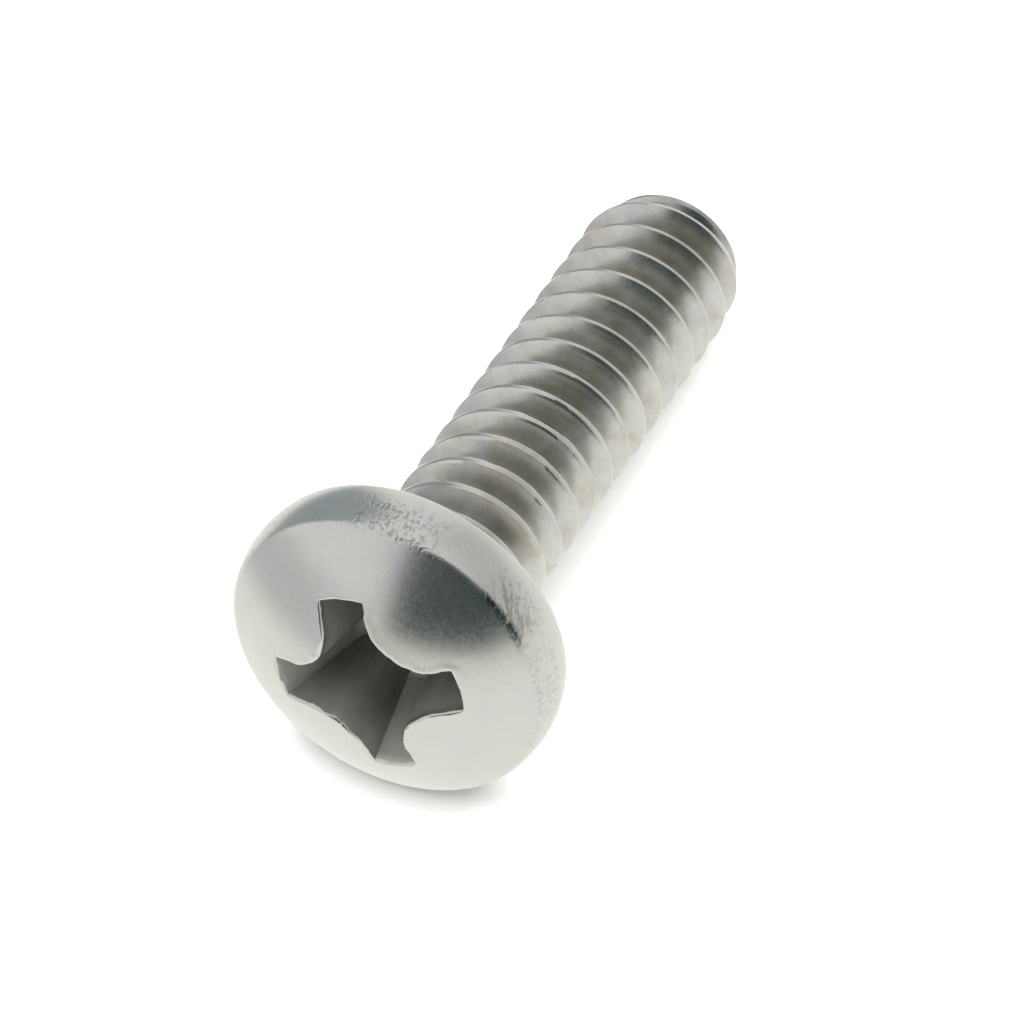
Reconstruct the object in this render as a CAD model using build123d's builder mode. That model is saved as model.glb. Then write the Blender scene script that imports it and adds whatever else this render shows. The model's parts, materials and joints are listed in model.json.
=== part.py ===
# Cross-recessed pan-head machine screw, No. 6-32 thread, half an inch long, in stainless steel:
# one cold-headed, thread-rolled piece. Millimetres. It is made upright, with the bearing face of
# the head on Z = 0 and the shank hanging below, and is then laid down on its rim and its shank.
# The shank is the envelope of the thread's crests.
import os
from math import asin, atan2, cos, degrees, hypot, radians, sin, sqrt, tan

from build123d import *

# Head: a spherical dome on a barrel-shaped side
head_diameter = 6.75
head_height = 2.445  # bearing face to the top of the dome, were there no recess
belly_height = 0.68  # where the side is widest
belly_radius = 1.8  # the side's own curve, seen in section
side_height = 1.287  # where the side meets the dome
dome_edge_rounding = 0.12
rim_rounding = 0.10

# Shank
length = 12.4  # bearing face to the end
shank_diameter = 3.45  # over the crests of the thread
neck_rounding = 0.15
point_length = 0.70
point_diameter = 2.80

# Cross recess for a size 2 driver
mouth_diameter = 4.036  # across opposite wings
wing_width = 0.928  # at the mouth
wing_depth = 1.73  # mouth to the foot of the wing ends
wing_end_angle = 26.5  # wing end to the axis
wing_side_angle = 5.75  # wing side to the axis
floor_angle = 28.0  # conical floor to a plane across the axis
nose_diameter = 2.16  # across the noses that stand between the wings, at the mouth
nose_spread = 140.0  # between the two facets of a nose
nose_lean = 9.0  # nose edge to the axis
recess_turn = 19.8  # first wing, about the axis, from the side that lies uppermost
wing_spacing = 90.0  # from one wing to the next
cutter_overrun = 0.5  # how far the recess is drawn on past the dome

# Sizes that follow from these
head_radius = head_diameter / 2
belly_centre = head_radius - belly_radius
bearing_radius = belly_centre + sqrt(belly_radius**2 - belly_height**2)
corner_radius = belly_centre + sqrt(belly_radius**2 - (side_height - belly_height) ** 2)
dome_rise = head_height - side_height
dome_radius = (corner_radius**2 + dome_rise**2) / (2 * dome_rise)
shank_radius = shank_diameter / 2
point_start = length - point_length
mouth_radius = mouth_diameter / 2
mouth_height = head_height - dome_radius + sqrt(dome_radius**2 - mouth_radius**2)
foot_radius = mouth_radius - wing_depth * tan(radians(wing_end_angle))
foot_height = mouth_height - wing_depth
floor_height = foot_height - foot_radius * tan(radians(floor_angle))
cutter_top = head_height + cutter_overrun
cutter_bottom = floor_height - cutter_overrun

# Head and shank, turned about the axis
half_dome = asin(corner_radius / dome_radius) / 2
dome_middle = (dome_radius * sin(half_dome), head_height - dome_radius * (1 - cos(half_dome)))
neck_corner = (shank_radius, 0)
rim_corner = (bearing_radius, 0)
dome_corner = (corner_radius, side_height)
with BuildPart() as blank:
    with BuildSketch(Plane.XZ) as section:
        with BuildLine():
            Polyline(
                (0, head_height),
                (0, -length),
                (point_diameter / 2, -length),
                (shank_radius, -point_start),
                neck_corner,
                rim_corner,
            )
            ThreePointArc(rim_corner, (head_radius, belly_height), dome_corner)
            ThreePointArc(dome_corner, dome_middle, (0, head_height))
        make_face()
        for corner, rounding in (
            (neck_corner, neck_rounding),
            (rim_corner, rim_rounding),
            (dome_corner, dome_edge_rounding),
        ):
            fillet(section.vertices().sort_by_distance(corner)[0], rounding)
    revolve(axis=Axis.Z)


def wing_width_at(height):
    return wing_width - 2 * (mouth_height - height) * tan(radians(wing_side_angle))


def nose_radius_at(height):
    return nose_diameter / 2 - (mouth_height - height) * tan(radians(nose_lean))


def core_corners(height):
    """Eight-pointed outline of the core: a nose between each two wings, a point in each wing."""
    nose = nose_radius_at(height)
    half_spread = radians(nose_spread / 2)
    half_spacing = radians(wing_spacing / 2)
    reach = nose * sin(half_spread) / sin(half_spread - half_spacing)
    radii = [reach, nose] * 4
    return [
        (radius * cos(half_spacing * place), radius * sin(half_spacing * place))
        for place, radius in enumerate(radii)
    ]


# Recess cutter: two crossed wings and a core, all within one steep cone with a conical floor
top_radius = foot_radius + (cutter_top - foot_height) * tan(radians(wing_end_angle))
blade_length = 2 * (top_radius + cutter_overrun)  # a little past the cone that trims it
with BuildPart() as recess:
    for turn in (0, wing_spacing):
        for height in (cutter_bottom, cutter_top):
            with BuildSketch(Plane.XY.offset(height)):
                Rectangle(blade_length, wing_width_at(height), rotation=turn)
        loft()
    for height in (cutter_bottom, cutter_top):
        with BuildSketch(Plane.XY.offset(height)):
            Polygon(*core_corners(height), align=None)
    loft(ruled=True)
    with BuildSketch(Plane.XZ):
        Polygon(
            (0, floor_height),
            (foot_radius, foot_height),
            (top_radius, cutter_top),
            (0, cutter_top),
            align=None,
        )
    revolve(axis=Axis.Z, mode=Mode.INTERSECT)

with BuildPart() as upright:
    add(blank.part)
    add(recess.part, rotation=(0, 0, recess_turn), mode=Mode.SUBTRACT)

# Laid down: one line touches the rim's curve and the last full-width point of the shank
slope_to_belly = atan2(shank_radius - belly_centre, belly_height + point_start)
reach_to_belly = hypot(shank_radius - belly_centre, belly_height + point_start)
lie_angle = degrees(asin(belly_radius / reach_to_belly) - slope_to_belly)
with BuildPart() as lying:
    add(upright.part, rotation=(0, lie_angle - 90, 0))
box = lying.part.bounding_box(optimal=True)

with BuildPart() as machine_screw:
    with Locations((-box.center().X, -box.center().Y, -box.min.Z)):
        add(lying.part)
machine_screw.part.label = "machine_screw"
print("lies at", lie_angle, "degrees; bounding box", box.size)

os.makedirs("parts", exist_ok=True)
export_step(machine_screw.part, "parts/machine_screw.step")
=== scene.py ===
# A cross-recessed pan-head machine screw in stainless steel, lying on a white table.
# The CAD solid gives its place and size. This script adds the rolled thread, the struck recess and the steel.
import json
from math import acos, asin, cos, pi, radians, sin, sqrt, tan

import bpy
import numpy as np
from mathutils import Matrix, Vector, noise


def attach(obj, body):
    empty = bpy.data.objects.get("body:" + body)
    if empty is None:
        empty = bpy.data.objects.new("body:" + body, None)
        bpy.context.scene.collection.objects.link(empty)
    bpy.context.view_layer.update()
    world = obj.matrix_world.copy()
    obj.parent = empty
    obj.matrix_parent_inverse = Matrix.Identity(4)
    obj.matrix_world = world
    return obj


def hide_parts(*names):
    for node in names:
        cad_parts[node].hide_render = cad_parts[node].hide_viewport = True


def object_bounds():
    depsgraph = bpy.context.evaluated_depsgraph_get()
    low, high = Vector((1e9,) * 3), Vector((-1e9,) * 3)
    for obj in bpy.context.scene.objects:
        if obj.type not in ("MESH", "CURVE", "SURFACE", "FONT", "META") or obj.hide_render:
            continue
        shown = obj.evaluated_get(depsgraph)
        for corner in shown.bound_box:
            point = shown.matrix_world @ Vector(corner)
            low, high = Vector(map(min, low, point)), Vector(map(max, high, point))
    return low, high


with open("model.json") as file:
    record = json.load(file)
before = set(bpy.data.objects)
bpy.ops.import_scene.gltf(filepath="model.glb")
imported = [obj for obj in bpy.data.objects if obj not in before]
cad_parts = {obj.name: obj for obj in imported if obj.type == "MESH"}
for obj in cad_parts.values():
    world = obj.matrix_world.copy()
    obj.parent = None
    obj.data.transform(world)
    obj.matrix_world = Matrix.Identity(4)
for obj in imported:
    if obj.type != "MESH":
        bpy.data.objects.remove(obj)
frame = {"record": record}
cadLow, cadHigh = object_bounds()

mm = 0.001  # one millimetre in scene units

screwShape = {  # millimetres and degrees, measured from the bearing face of the head
    "headRadius": 3.375,
    "headHeight": 2.445,
    "bellyHeight": 0.68,
    "bellyCurve": 1.8,
    "sideHeight": 1.287,
    "domeEdgeCurve": 0.10,
    "rimCurve": 0.10,
    "length": 12.4,
    "pitch": 25.4 / 32,
    "firstCrest": 2.135,  # depth of a crest on the side that lies uppermost
    "crestRadiusAtHead": 1.685,
    "crestRadiusAtEnd": 1.74,
    "crestFlatAtHead": 0.15,
    "crestFlatAtEnd": 0.075,
    "rootRadius": 1.24,
    "rootCurve": 0.035,
    "crestCurve": 0.022,
    "neckRadius": 1.60,
    "neckDepth": 0.35,
    "neckFade": 0.75,
    "neckCurve": 0.15,
    "pointLength": 0.75,
    "pointRadius": 1.41,
    "pointCurve": 0.12,
    "pointFade": 0.45,
    "pointBlend": 0.08,
    "flankAngle": 30.0,
    "crestWaves": ((0.006, 0.9, 2), (0.003, 0.25, 3)),  # how much, over how many millimetres, seed
    "flatWaves": ((0.2, 0.6, 4),),
    "sharpAngle": 38,
}
recessShape = {  # millimetres and degrees, a size 2 cross
    "mouthRadius": 2.018,
    "wingWidth": 0.928,
    "wingDepth": 1.73,
    "wingEndAngle": 26.5,
    "wingSideAngle": 5.75,
    "floorAngle": 28.0,
    "noseRadius": (0.970, 1.025, 0.995, 1.09),  # the punch was worn unevenly, so no two noses match
    "noseCurve": (0.17, 0.16, 0.20, 0.50),
    "noseSpread": 140.0,
    "noseLean": 9.0,
    "innerCurve": 0.14,
    "turn": 19.84,
    "edgeCurve": 0.060,
    "lipHeight": 0.004,
    "edgeWaves": ((0.8, 0.22, 1), (0.7, 0.07, 5)),
    "lipWaves": ((1.6, 0.3, 6), (0.8, 0.08, 7)),
    "leastLip": 0.2,
}
meshFineness = {
    "wingEnd": 4,  # columns from a wing's middle to its corner
    "wingSide": 5,
    "innerCorner": 4,
    "facet": 2,
    "nose": 5,
    "threadRows": 20,  # rows to a pitch
}
wingParts = ("wingEnd", "wingSide", "innerCorner", "facet", "nose")
columnsToNose = sum(meshFineness[part] for part in wingParts)
columnCount = 8 * columnsToNose
lipRings = 7  # the recess's last rings, on its edge and lip, where the painted shade of the recess stops


def mount(name):
    return next(m for m in frame["record"]["mounts"] if m["name"] == name)


# The screw's own axes in the row frame: along to the point, across, and up off the axis
along = Vector(mount("thread")["axis"]).normalized()
across = Vector((0, 1, 0))
upward = across.cross(along) * -1
faceMiddle = Vector(mount("thread")["pos_m"])
faceMiddle += along * (Vector(mount("bearing_face")["pos_m"]) - faceMiddle).dot(along)


def place(points):
    axes = np.array([upward, across, -along]) * mm
    return np.array(faceMiddle) + np.asarray(points) @ axes


def smoothLeast(first, second, width):
    blend = np.clip(0.5 + 0.5 * (second - first) / width, 0, 1)
    return second + (first - second) * blend - width * blend * (1 - blend)


def smoothMost(first, second, width):
    return -smoothLeast(-first, -second, width)


def smoothStep(low, high, value):
    part = np.clip((value - low) / (high - low), 0, 1)
    return part * part * (3 - 2 * part)


def wobble(points, waves):
    flat = np.asarray(points).reshape(-1, 3)
    total = np.zeros(len(flat))
    for amount, size, seed in waves:
        shift = Vector((seed * 7.3, seed * 3.1, seed * 1.7))
        total += [amount * noise.noise(Vector(point) / size + shift) for point in flat]
    return total.reshape(np.asarray(points).shape[:-1])


bellyMiddle = screwShape["headRadius"] - screwShape["bellyCurve"]
sideAboveBelly = screwShape["sideHeight"] - screwShape["bellyHeight"]
cornerRadius = bellyMiddle + sqrt(screwShape["bellyCurve"] ** 2 - sideAboveBelly**2)
domeRise = screwShape["headHeight"] - screwShape["sideHeight"]
domeRadius = (cornerRadius**2 + domeRise**2) / (2 * domeRise)
footRadius = recessShape["mouthRadius"] - recessShape["wingDepth"] * tan(radians(recessShape["wingEndAngle"]))


def domeHeight(radius):
    return screwShape["headHeight"] - domeRadius + np.sqrt(domeRadius**2 - radius**2)


mouthHeight = float(domeHeight(recessShape["mouthRadius"]))
footHeight = mouthHeight - recessShape["wingDepth"]
floorHeight = footHeight - footRadius * tan(radians(recessShape["floorAngle"]))
columnAngles = radians(recessShape["turn"]) + np.arange(columnCount) * 2 * pi / columnCount


def halfWingOutline(height, corner):
    # From the middle of a wing's end round to the nose after it, at one height in the recess
    shape = recessShape
    noseRadius, noseCurve = shape["noseRadius"][corner], shape["noseCurve"][corner]
    depth = mouthHeight - height
    end = shape["mouthRadius"] - depth * tan(radians(shape["wingEndAngle"]))
    half = shape["wingWidth"] / 2 - depth * tan(radians(shape["wingSideAngle"]))
    nose = (noseRadius - depth * tan(radians(shape["noseLean"]))) * sqrt(0.5)
    lean = radians(shape["noseSpread"] / 2 - 45)
    outer = np.array([sqrt(max(end**2 - half**2, 0)), half])
    reach = (nose - half) / sin(lean)
    inner = np.array([nose + reach * cos(lean), half])
    tip = np.array([nose, nose])
    towardsTip = (tip - inner) / np.linalg.norm(tip - inner)
    fine = meshFineness
    points = []
    for step in range(fine["wingEnd"]):
        angle = asin(half / end) * step / fine["wingEnd"]
        points.append([end * cos(angle), end * sin(angle)])
    bendStart = inner + np.array([shape["innerCurve"], 0])
    bendEnd = inner + towardsTip * shape["innerCurve"]
    for step in range(fine["wingSide"]):
        part = step / fine["wingSide"]
        points.append(outer + (bendStart - outer) * (part**1.5))
    for step in range(fine["innerCorner"]):
        t = step / fine["innerCorner"]
        points.append((1 - t) ** 2 * bendStart + 2 * t * (1 - t) * inner + t * t * bendEnd)
    noseStart = tip - towardsTip * noseCurve
    for step in range(fine["facet"]):
        points.append(bendEnd + (noseStart - bendEnd) * step / fine["facet"])
    noseEnd = noseStart[::-1]
    for step in range(fine["nose"] + 1):
        t = 0.5 * step / fine["nose"]
        points.append((1 - t) ** 2 * noseStart + 2 * t * (1 - t) * tip + t * t * noseEnd)
    return np.array(points)


def recessPoints(heights):
    # One point of the recess's wall for each column, each at its own height
    points = np.zeros((columnCount, 2))
    known = {}
    for column, height in enumerate(heights):
        eighth, step = divmod(column, columnsToNose)
        step = step if eighth % 2 == 0 else columnsToNose - step
        corner = eighth // 2
        key = (corner, round(float(height), 6))
        if key not in known:
            known[key] = halfWingOutline(height, corner)
        x, y = known[key][step]
        if eighth % 2:
            x, y = y, x
        turn = corner * pi / 2 + radians(recessShape["turn"])
        points[column] = (x * cos(turn) - y * sin(turn), x * sin(turn) + y * cos(turn))
    return points


def ring(flat, heights):
    return np.column_stack([flat, np.broadcast_to(heights, len(flat))])


def circle(radius, height, angles=columnAngles):
    return np.column_stack([radius * np.cos(angles), radius * np.sin(angles), np.full(len(angles), height)])


def recessRings():
    # The recess from its floor up to its mouth, then over the edge
    shape = recessShape
    heights = np.full(columnCount, mouthHeight)
    for _ in range(8):
        mouth = recessPoints(heights)
        heights = domeHeight(np.linalg.norm(mouth, axis=1))
    floors = np.full(columnCount, footHeight)
    for _ in range(40):
        foot = recessPoints(floors)
        floors = floorHeight + np.linalg.norm(foot, axis=1) * tan(radians(shape["floorAngle"]))
    rings = []
    for part in (0.12, 0.3, 0.5, 0.7, 0.85, 0.94, 1.0):
        rise = np.linalg.norm(foot, axis=1) * part * tan(radians(shape["floorAngle"]))
        rings.append(ring(foot * part, floorHeight + rise))
    edge = ring(mouth, heights)
    curve = shape["edgeCurve"] * (1 + wobble(edge, shape["edgeWaves"]))
    lip = shape["lipHeight"] * np.maximum(shape["leastLip"], 1 + wobble(edge, shape["lipWaves"]))
    low = heights - curve
    for part in (0.05, 0.12, 0.22, 0.34, 0.46, 0.58, 0.7, 0.8, 0.88, 0.94):
        level = floors + (low - floors) * part
        rings.append(ring(recessPoints(level), level))
    ahead, behind = np.roll(mouth, -1, axis=0), np.roll(mouth, 1, axis=0)
    run = ahead - behind
    outward = np.column_stack([run[:, 1], -run[:, 0]]) / np.linalg.norm(run, axis=1)[:, None]
    wall = ring(recessPoints(low), low)
    outer = mouth + outward * curve[:, None]
    top = ring(outer, domeHeight(np.linalg.norm(outer, axis=1)))
    for t in (0, 0.25, 0.5, 0.75, 1.0):
        bent = (1 - t) ** 2 * wall + 2 * t * (1 - t) * edge + t * t * top
        bent[:, 2] += lip * t
        rings.append(bent)
    for distance, lift in ((0.03, 1.0), (0.07, 0.6), (0.12, 0.2), (0.18, 0.0)):
        flat = outer + outward * distance
        rings.append(ring(flat, domeHeight(np.linalg.norm(flat, axis=1)) + lip * lift))
    return rings


def headRings(lip):
    # From the recess's lip out over the dome, down the side and in under the head
    shape = screwShape
    rings = []
    start = lip[:, :2]
    edgeRadius = cornerRadius - shape["domeEdgeCurve"]
    end = circle(edgeRadius, 0)[:, :2]
    for part in (np.arange(1, 25) / 24) ** 0.85:
        flat = start + (end - start) * part
        rings.append(ring(flat, domeHeight(np.linalg.norm(flat, axis=1))))

    def sideRadius(height):
        return bellyMiddle + sqrt(shape["bellyCurve"] ** 2 - (height - shape["bellyHeight"]) ** 2)

    top = np.array([edgeRadius, float(domeHeight(edgeRadius))])
    corner = np.array([cornerRadius, shape["sideHeight"]])
    below = shape["sideHeight"] - shape["domeEdgeCurve"]
    bottom = np.array([sideRadius(below), below])
    for t in (0.2, 0.4, 0.6, 0.8, 1.0):
        bent = (1 - t) ** 2 * top + 2 * t * (1 - t) * corner + t * t * bottom
        rings.append(circle(*bent))
    for height in np.linspace(below, shape["rimCurve"], 16)[1:]:
        rings.append(circle(sideRadius(height), height))
    top = np.array([sideRadius(shape["rimCurve"]), shape["rimCurve"]])
    corner = np.array([sideRadius(0), 0.0])
    bottom = corner - np.array([shape["rimCurve"], 0])
    for t in (0.25, 0.5, 0.75, 1.0):
        rings.append(circle(*((1 - t) ** 2 * top + 2 * t * (1 - t) * corner + t * t * bottom)))
    inner = shape["neckRadius"] + shape["neckCurve"]
    for radius in np.linspace(bottom[0], inner, 9)[1:]:
        rings.append(circle(radius, 0))
    for t in (0.25, 0.5, 0.75):
        angle = t * pi / 2
        rings.append(circle(inner - shape["neckCurve"] * sin(angle), -shape["neckCurve"] * (1 - cos(angle))))
    return rings


def shankGrid():
    # Rows run along the helix, so that the crests' edges follow them, and go one pitch deeper each turn
    shape = screwShape
    half = meshFineness["threadRows"] // 2
    crestPart = 0.5 * shape["crestFlatAtHead"] / shape["pitch"]
    nearCrest = [0, crestPart * 0.5, crestPart * 0.95, crestPart + 0.03, crestPart + 0.07]
    steps = np.concatenate([nearCrest, np.linspace(crestPart + 0.12, 0.5, half - 4)])
    offsets = np.concatenate([-steps[:0:-1], steps[:-1]])
    turns = range(-4, int(shape["length"] / shape["pitch"]) + 4)
    rows = np.array([(turn + offset, offset) for turn in turns for offset in offsets])
    around = (columnAngles - columnAngles[0]) / (2 * pi)
    startDepth = shape["firstCrest"] - shape["pitch"] * columnAngles[0] / (2 * pi)
    reach = startDepth + shape["pitch"] * (rows[:, :1] - around[None, :])
    offset = np.repeat(rows[:, 1:] * shape["pitch"], columnCount, axis=1)
    angles = np.broadcast_to(columnAngles, reach.shape)

    bend = np.clip((reach - shape["length"] + shape["pointCurve"]) / (2 * shape["pointCurve"]), 0, 1)
    curved = shape["length"] - shape["pointCurve"] * (1 - bend) ** 2
    depth = np.where(bend > 0, curved, np.maximum(reach, shape["neckCurve"]))
    inward = shape["pointCurve"] * bend**2 + np.maximum(reach - shape["length"] - shape["pointCurve"], 0)

    grown = depth / shape["length"]
    crest = shape["crestRadiusAtHead"] + (shape["crestRadiusAtEnd"] - shape["crestRadiusAtHead"]) * grown
    flat = (shape["crestFlatAtHead"] + (shape["crestFlatAtEnd"] - shape["crestFlatAtHead"]) * grown) / 2
    skin = np.dstack([crest * np.cos(angles), crest * np.sin(angles), -depth])
    crest = crest + wobble(skin, shape["crestWaves"])
    flat = flat * (1 + wobble(skin, shape["flatWaves"]))
    flank = crest + (flat - np.abs(offset)) / tan(radians(shape["flankAngle"]))
    radius = smoothLeast(crest, flank, shape["crestCurve"])
    radius = smoothMost(radius, shape["rootRadius"] + 0 * crest, shape["rootCurve"])
    begin = smoothStep(shape["neckDepth"], shape["neckDepth"] + shape["neckFade"], depth)
    radius = shape["neckRadius"] + (radius - shape["neckRadius"]) * begin
    slope = (shape["crestRadiusAtEnd"] - shape["pointRadius"]) / shape["pointLength"]
    cone = shape["pointRadius"] + (shape["length"] - depth) * slope
    radius = smoothLeast(radius, cone, shape["pointBlend"])
    end = smoothStep(shape["length"] - shape["pointFade"], shape["length"] - 0.5 * shape["pointCurve"], depth)
    radius = radius + (cone - radius) * end
    radius = np.maximum(radius - inward, 0)
    return np.dstack([radius * np.cos(angles), radius * np.sin(angles), -depth]), len(offsets)


def joinAlike(verts, faces, zones):
    # Points in one place become one, and faces that shrink to a line go
    keys = np.round(verts, 5)
    _, first, same = np.unique(keys, axis=0, return_index=True, return_inverse=True)
    same = same.reshape(-1)
    kept = []
    for face in faces:
        corners = []
        for corner in same[list(face)]:
            if corner not in corners:
                corners.append(int(corner))
        if len(corners) > 2:
            kept.append(corners)
    return verts[first], kept, {name: values[first] for name, values in zones.items()}


def surfaceZones(verts, recessCount, gridStart):
    # How much each point shows of the recess's painted shade, the side's pits and the thread's oil
    radius = np.linalg.norm(verts[:, :2], axis=1)
    index = np.arange(len(verts))
    lipStart = 1 + (recessCount - lipRings) * columnCount
    below = domeHeight(np.minimum(radius, cornerRadius)) - verts[:, 2]
    side = smoothStep(0.25, 0.75, verts[:, 2]) * smoothStep(cornerRadius - 0.10, cornerRadius - 0.01, radius)
    angle = np.degrees(np.arctan2(verts[:, 1], verts[:, 0]))
    patches = steelLook["leastPits"]
    for middle, reach, strength in steelLook["pitPatches"]:
        away = np.abs((angle - middle + 180) % 360 - 180)
        patches = np.maximum(patches, strength * smoothStep(1.5 * reach, 0.4 * reach, away))
    crest = screwShape["crestRadiusAtHead"]
    groove = smoothStep(crest - 0.03, crest - 0.22, radius)
    oily = smoothStep(1.25, 0.8, np.abs(angle - steelLook["oilySide"]) / steelLook["oilyReach"])
    struck = smoothStep(1.0, 0.5, np.abs(angle - steelLook["bruise"]) / steelLook["bruiseReach"])
    edgeDistance = np.hypot(radius - cornerRadius, verts[:, 2] - screwShape["sideHeight"])
    scraped = struck * smoothStep(0.9, 0.1, edgeDistance) * (side > 0)
    return {
        # painted dark reflection along the struck dome edge, where it is dented
        "onDentReflection": np.where(index < gridStart, struck * smoothStep(0.10, 0.02, edgeDistance), 0.0),
        "onScrape": np.where(index < gridStart, scraped, 0.0),
        "inRecess": np.where(index < lipStart, smoothStep(0.02, 0.25, below), 0.0),
        # deepInRecess masks the painted shade: the recess drawn darker the deeper it goes
        "deepInRecess": np.where(index < lipStart, smoothStep(0.35, 1.35, below), 0.0),
        "onSide": np.where(index < gridStart, side * patches, 0.0),
        "onThread": np.where(index >= gridStart, 1.0, 0.0),
        "inGroove": np.where(index >= gridStart, groove * (0.3 + 0.7 * oily), 0.0),
    }


def makeScrewMesh():
    recess = recessRings()
    rings = recess + headRings(recess[-1])
    grid, rowsPerTurn = shankGrid()
    verts = np.vstack([[[0, 0, floorHeight]], *rings, grid.reshape(-1, 3)])
    ringStarts = [1 + index * columnCount for index in range(len(rings))]
    gridStart = ringStarts[-1] + columnCount
    faces = []
    for column in range(columnCount):
        after = (column + 1) % columnCount
        faces.append((0, ringStarts[0] + column, ringStarts[0] + after))
        for low, high in zip(ringStarts, ringStarts[1:]):
            faces.append((low + column, high + column, high + after, low + after))
    for row in range(len(grid) - 1):
        for column in range(columnCount):
            after, far = (column + 1, row) if column + 1 < columnCount else (0, row - rowsPerTurn)
            if far < 0:
                continue
            near = gridStart + row * columnCount + column
            beyond = gridStart + far * columnCount + after
            faces.append((near, near + columnCount, beyond + columnCount, beyond))
    # The last ring of the head and the shank's first rows meet in one circle under the head
    lastRing, shankTop = ringStarts[-1], gridStart
    for column in range(columnCount):
        after = (column + 1) % columnCount
        faces.append((lastRing + column, shankTop + column, shankTop + after, lastRing + after))
    return joinAlike(verts, faces, surfaceZones(verts, len(recess), gridStart))


def buildScrew(material):
    verts, faces, zones = makeScrewMesh()
    mesh = bpy.data.meshes.new("threadedScrew")
    mesh.from_pydata(place(verts).tolist(), [], faces)
    for name, values in zones.items():
        mesh.attributes.new(name, "FLOAT", "POINT").data.foreach_set("value", values.astype(np.float32))
    mesh.polygons.foreach_set("use_smooth", [True] * len(mesh.polygons))
    mesh.set_sharp_from_angle(angle=radians(screwShape["sharpAngle"]))
    mesh.materials.append(material)
    screw = bpy.data.objects.new("threadedScrew", mesh)
    bpy.context.collection.objects.link(screw)
    triangles = sum(len(polygon.vertices) - 2 for polygon in mesh.polygons)
    print("screw:", len(mesh.vertices), "points,", triangles, "triangles")
    return screw


def addNode(tree, kind, inputs=None, **settings):
    node = tree.nodes.new(kind)
    for name, value in settings.items():
        setattr(node, name, value)
    for name, value in (inputs or {}).items():
        if isinstance(value, bpy.types.NodeSocket):
            tree.links.new(value, node.inputs[name])
        else:
            node.inputs[name].default_value = value
    return node


def colour(text):
    parts = [int(text[place:place + 2], 16) / 255 for place in (1, 3, 5)]
    return [part / 12.92 if part <= 0.04045 else ((part + 0.055) / 1.055) ** 2.4 for part in parts] + [1]


def perSize(size):
    return 1 / (size * mm)  # noise scale for features of this many millimetres


steelLook = {
    "bare": "#d0cfca",  # tumbled austenitic stainless, a little warm
    "oil": "#aea899",  # brown clouds of dried rolling oil, mostly on the thread
    "cool": "#c8c9d0",  # faint violet clouds
    "recessShade": "#a6a8a3",  # painted shade: the recess drawn darker the deeper it goes
    "pit": "#abaca8",
    "grooveOil": "#9f9e95",
    "scrape": "#9c9d98",
    # painted dark reflection in the dent on the struck dome edge
    "dentReflection": "#39423f",
    "roughness": 0.25,
    "roughnessSpread": 0.08,
    "threadRoughness": 0.02,  # on top of the head's
    "recessRoughness": 0.30,  # on top of the head's, where the punch scoured it
    "oilySide": -22,  # angle round the shank where the grooves kept most oil
    "oilyReach": 34,
    "bruise": -47,  # angle round the head where its dome's edge was struck and scraped
    "bruiseReach": 14,
    "pitPatches": (  # angle round the head's side, reach to each way, strength
        (0, 17, 1.0), (-48, 12, 0.9), (-78, 14, 0.55), (60, 12, 0.4),
        (128, 20, 0.7), (205, 24, 0.6), (262, 12, 0.5),
    ),
    "leastPits": 0.12,
    "cloudSize": 0.7,  # millimetres, as are the sizes and depths below
    "cloudShift": (3, 5, 7),  # sets the violet clouds apart from the brown ones
    "pitSize": 0.085,  # the pits are about this wide
    "pitDepth": 0.005,
    "grainSize": 0.08,  # drawn coarser than real: tumbling leaves a matt too fine to show
    "grainDepth": 0.0005,
    "drawMarkSize": 0.10,
    "drawMarkDepth": 0.004,
    "drawMarkStretch": 0.12,
    "scrapeSize": 0.11,
    "scrapeStretch": 0.05,
    "layers": (  # colour, pattern that breaks it up, from, to, amount at from, amount at to, where it lies
        ("oil", "clouds", 0.45, 0.70, 0.05, 0.6, "moreOnThread"),
        ("grooveOil", "clouds", 0.3, 0.7, 0.65, 1.0, "inGroove"),
        ("cool", "coolClouds", 0.45, 0.7, 0.0, 0.5, None),
        # painted shade, darker deeper in the recess
        ("recessShade", "drawMarks", 0.3, 0.7, 1.0, 0.6, "deepInRecess"),
        ("pit", "pits", 0.52, 0.34, 0.0, 1.0, "onSide"),
        ("scrape", "scrapes", 0.54, 0.38, 0.0, 1.0, "onScrape"),
        # painted dark reflection in the dent on the struck dome edge
        ("dentReflection", "grain", 0.3, 0.55, 0.4, 1.0, "onDentReflection"),
    ),
}


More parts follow.
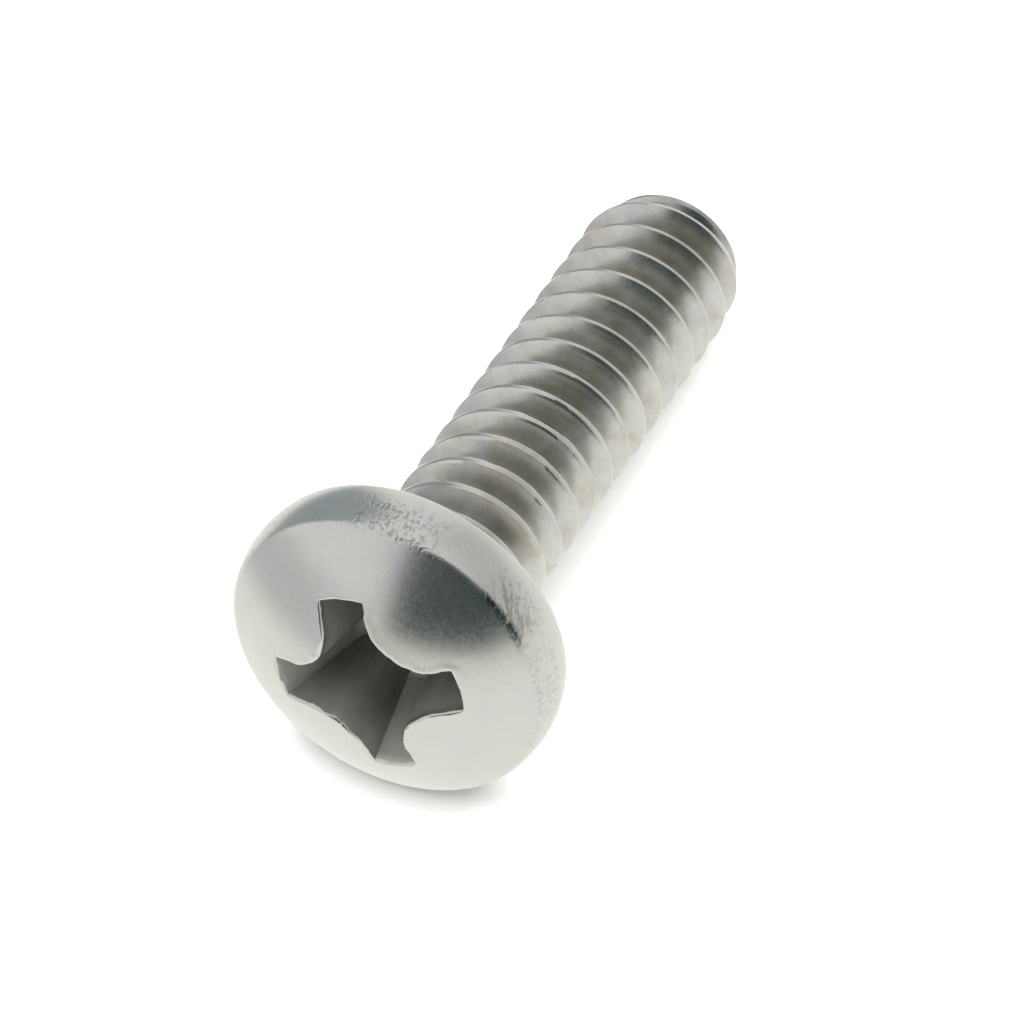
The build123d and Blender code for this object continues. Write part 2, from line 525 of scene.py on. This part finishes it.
def tumbledStainless():
    # Stainless steel, cold headed and rolled, then tumbled: a satin metal whose reflections have soft edges,
    # with fine dark pits on the head's side and faint brown and violet clouds of dried oil along the thread
    look = steelLook
    material = bpy.data.materials.new("tumbledStainless")
    material.use_nodes = True
    tree = material.node_tree
    shader = tree.nodes["Principled BSDF"]
    shader.inputs["Metallic"].default_value = 1.0
    where = addNode(tree, "ShaderNodeTexCoord").outputs["Object"]
    shifted = addNode(tree, "ShaderNodeVectorMath", {
        0: where, 1: [step * mm for step in look["cloudShift"]],
    }, operation="ADD").outputs[0]
    alongAxis = addNode(tree, "ShaderNodeMapping", {
        "Vector": where, "Rotation": (0, acos(along.x), 0), "Scale": (look["drawMarkStretch"], 1, 1),
    }).outputs[0]
    angle = radians(look["bruise"])
    roundHead = upward * sin(angle) - across * cos(angle)
    scrapeTurn = (roundHead - along * 0.9).to_track_quat("X", "Z").inverted().to_euler()
    turned = addNode(tree, "ShaderNodeMapping", {"Vector": where, "Rotation": scrapeTurn}).outputs[0]
    alongScrapes = addNode(tree, "ShaderNodeMapping", {
        "Vector": turned, "Scale": (look["scrapeStretch"], 1, 1),
    }).outputs[0]

    patterns = {}
    for name, spot, size, detail, roughness in (
        ("clouds", where, look["cloudSize"], 4.0, 0.6),
        ("coolClouds", shifted, look["cloudSize"], 3.0, 0.5),
        ("grain", where, look["grainSize"], 3.0, 0.55),
        ("pits", where, look["pitSize"], 1.0, 0.5),
        ("drawMarks", alongAxis, look["drawMarkSize"], 2.0, 0.6),
        ("scrapes", alongScrapes, look["scrapeSize"], 2.0, 0.5),
    ):
        patterns[name] = addNode(tree, "ShaderNodeTexNoise", {
            "Vector": spot, "Scale": perSize(size), "Detail": detail, "Roughness": roughness,
        }).outputs["Fac"]
    zones = {}
    for name in ("onDentReflection", "onScrape", "inRecess", "deepInRecess", "onSide", "onThread", "inGroove"):
        zones[name] = addNode(tree, "ShaderNodeAttribute", attribute_name=name).outputs["Fac"]
    zones["moreOnThread"] = addNode(tree, "ShaderNodeMapRange", {
        "Value": zones["onThread"], "To Min": 0.2, "To Max": 1.0,
    }).outputs[0]

    tint = colour(look["bare"])
    amounts = {}
    for name, pattern, low, high, start, end, zone in look["layers"]:
        amount = addNode(tree, "ShaderNodeMapRange", {
            "Value": patterns[pattern], "From Min": low, "From Max": high, "To Min": start, "To Max": end,
        }).outputs[0]
        if zone:
            amount = addNode(tree, "ShaderNodeMath", {
                0: amount, 1: zones[zone],
            }, operation="MULTIPLY").outputs[0]
        amounts[name] = amount
        tint = addNode(tree, "ShaderNodeMix", {
            0: amount, 6: tint, 7: colour(look[name]),
        }, data_type="RGBA").outputs[2]
    tree.links.new(tint, shader.inputs["Base Color"])

    spread = look["roughnessSpread"] / 2
    rough = addNode(tree, "ShaderNodeMapRange", {
        "Value": patterns["grain"], "From Min": 0.3, "From Max": 0.7,
        "To Min": look["roughness"] - spread, "To Max": look["roughness"] + spread,
    }).outputs[0]
    for zone, extra in (("onThread", look["threadRoughness"]), ("inRecess", look["recessRoughness"])):
        rough = addNode(tree, "ShaderNodeMath", {
            0: zones[zone], 1: extra, 2: rough,
        }, operation="MULTIPLY_ADD").outputs[0]
    tree.links.new(rough, shader.inputs["Roughness"])

    sunk = addNode(tree, "ShaderNodeMath", {0: amounts["pit"], 1: -1.0}, operation="MULTIPLY").outputs[0]
    marks = addNode(tree, "ShaderNodeMath", {
        0: patterns["drawMarks"], 1: zones["inRecess"],
    }, operation="MULTIPLY").outputs[0]
    normal = {}
    for height, depth in ((sunk, "pitDepth"), (marks, "drawMarkDepth"), (patterns["grain"], "grainDepth")):
        bump = addNode(tree, "ShaderNodeBump", {"Height": height, "Distance": look[depth] * mm, **normal})
        normal = {"Normal": bump.outputs[0]}
    tree.links.new(normal["Normal"], shader.inputs["Normal"])
    print("steel:", len(look["layers"]), "layers of colour over bare stainless")
    return material


studio = {
    "floor": "#fafaf8",
    "tent": (  # height above the horizon, how bright, tint
        (-60, 1.16, "#fdfdf8"),
        (-25, 1.12, "#fdfdf8"),
        (-8, 1.05, "#fcfcf8"),
        (12, 1.00, "#f9f9f8"),
        (40, 0.96, "#f8f8f9"),
        (75, 0.96, "#f8f8f8"),
    ),
    # bearing from the camera's side, height, half width, half height, softness, depth, tint
    "shadedAreas": {
        "leftHorizon": (-85, -12, 38, 15, 8, 0.85, "#cfcdd3"),
        "rightWall": (108, 34, 44, 26, 14, 0.9, "#d3d4d1"),
        "farWall": (-147, 16, 27, 32, 6, 0.9, "#99a4a7"),
        "cameraBody": (-14, 34, 22, 37.5, 5, 0.97, "#3c4a49"),
        "cameraHand": (17, 38, 17, 36, 6, 0.97, "#3c4a49"),
        "cameraArm": (40, 50, 15, 23, 10, 0.9, "#4b5554"),
    },
    "softboxWidth": 1400,
    "softboxHeight": 900,
    "softboxPower": 24,
    "floorRoughness": 0.9,
    "floorReach": 1200,
    "floorGap": 0.02,  # keeps the table just clear of the steel
}
cameraView = {
    "azimuth": -64.72,
    "elevation": 50.245,
    "distance": 115.58,
    "lens": 205.38,
    "aim": (-1.156, -0.262, -0.963),  # from the middle of the model's box
}


def direction(azimuth, elevation):
    turn, rise = radians(azimuth), radians(elevation)
    return Vector((sin(turn) * cos(rise), -cos(turn) * cos(rise), sin(rise)))


def lightWorld():
    # A white tent, brightest below, darker where the camera and its holder stand and along one far wall
    world = bpy.data.worlds.new("whiteTent")
    bpy.context.scene.world = world
    world.use_nodes = True
    tree = world.node_tree
    ray = addNode(tree, "ShaderNodeTexCoord").outputs["Generated"]
    height = addNode(tree, "ShaderNodeSeparateXYZ", {0: ray}).outputs["Z"]
    level = addNode(tree, "ShaderNodeMapRange", {"Value": height, "From Min": -1.0}).outputs[0]
    bands = addNode(tree, "ShaderNodeValToRGB", {0: level})
    brightest = max(bright for _, bright, _ in studio["tent"])
    elements = bands.color_ramp.elements
    while len(elements) < len(studio["tent"]):
        elements.new(0.5)
    for element, (above, bright, tint) in zip(elements, studio["tent"]):
        element.position = (sin(radians(above)) + 1) / 2
        element.color = [part * bright / brightest for part in colour(tint)[:3]] + [1]
    result = bands.outputs[0]
    elevation = addNode(tree, "ShaderNodeMath", {0: height}, operation="ARCSINE").outputs[0]
    for bearing, above, halfWidth, halfHeight, softness, depth, tint in studio["shadedAreas"].values():
        ahead = direction(cameraView["azimuth"] + bearing, 0)
        sideways, forwards = [
            addNode(tree, "ShaderNodeVectorMath", {0: ray, 1: axis}, operation="DOT_PRODUCT").outputs["Value"]
            for axis in (ahead.cross(Vector((0, 0, 1))), ahead)
        ]
        aside = addNode(tree, "ShaderNodeMath", {0: sideways, 1: forwards}, operation="ARCTAN2").outputs[0]
        raised = addNode(tree, "ShaderNodeMath", {
            0: elevation, 1: radians(above),
        }, operation="SUBTRACT").outputs[0]
        amount = depth
        for offset, half in ((aside, halfWidth), (raised, halfHeight)):
            away = addNode(tree, "ShaderNodeMath", {0: offset}, operation="ABSOLUTE").outputs[0]
            inside = addNode(tree, "ShaderNodeMapRange", {
                "Value": away, "From Min": radians(half - softness), "From Max": radians(half + softness),
                "To Min": 1.0, "To Max": 0.0,
            }, interpolation_type="SMOOTHSTEP").outputs[0]
            amount = addNode(tree, "ShaderNodeMath", {0: inside, 1: amount}, operation="MULTIPLY").outputs[0]
        shade = [part / brightest for part in colour(tint)[:3]] + [1]
        result = addNode(tree, "ShaderNodeMix", {0: amount, 6: result, 7: shade}, data_type="RGBA").outputs[2]
    background = tree.nodes["Background"]
    background.inputs["Strength"].default_value = brightest
    tree.links.new(result, background.inputs["Color"])
    print("studio:", len(studio["shadedAreas"]), "shaded areas in a white tent")


def hangSoftbox():
    # Overhead light for the table alone, so that it stays white round the screw
    light = bpy.data.lights.new("softbox", "AREA")
    light.size = studio["softboxWidth"] * mm
    light.energy = studio["softboxPower"]
    softbox = bpy.data.objects.new("softbox", light)
    softbox.location.z = studio["softboxHeight"] * mm
    softbox.visible_glossy = False
    bpy.context.collection.objects.link(softbox)


def layFloor():
    # Matt white laminate: no gloss, so the screw's contact shadow is all that shows on it
    material = bpy.data.materials.new("whiteTable")
    material.use_nodes = True
    shader = material.node_tree.nodes["Principled BSDF"]
    shader.inputs["Base Color"].default_value = colour(studio["floor"])
    shader.inputs["Roughness"].default_value = studio["floorRoughness"]
    mesh = bpy.data.meshes.new("table")
    reach = studio["floorReach"] * mm
    corners = [(-reach, -reach, 0), (reach, -reach, 0), (reach, reach, 0), (-reach, reach, 0)]
    mesh.from_pydata(corners, [], [(0, 1, 2, 3)])
    mesh.materials.append(material)
    table = bpy.data.objects.new("table", mesh)
    bpy.context.collection.objects.link(table)
    table.location.z = cadLow.z - studio["floorGap"] * mm
    table.visible_glossy = False  # the steel mirrors the tent below it, which is as white and has no shadow
    print("table: laid under the screw")


def setCamera():
    data = bpy.data.cameras.new("camera")
    camera = bpy.data.objects.new("camera", data)
    bpy.context.collection.objects.link(camera)
    aim = (cadLow + cadHigh) / 2 + Vector(cameraView["aim"]) * mm
    back = direction(cameraView["azimuth"], cameraView["elevation"])
    camera.location = aim + back * cameraView["distance"] * mm
    camera.rotation_mode = "QUATERNION"
    camera.rotation_quaternion = (-back).to_track_quat("-Z", "Y")
    data.lens = cameraView["lens"]
    data.clip_start = 1 * mm
    bpy.context.scene.camera = camera
    print("camera:", cameraView["distance"], "mm away")


steel = tumbledStainless()
screw = buildScrew(steel)
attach(screw, "root")
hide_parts("machine_screw")
lightWorld()
hangSoftbox()
layFloor()
setCamera()
bpy.context.scene.view_settings.view_transform = "Standard"
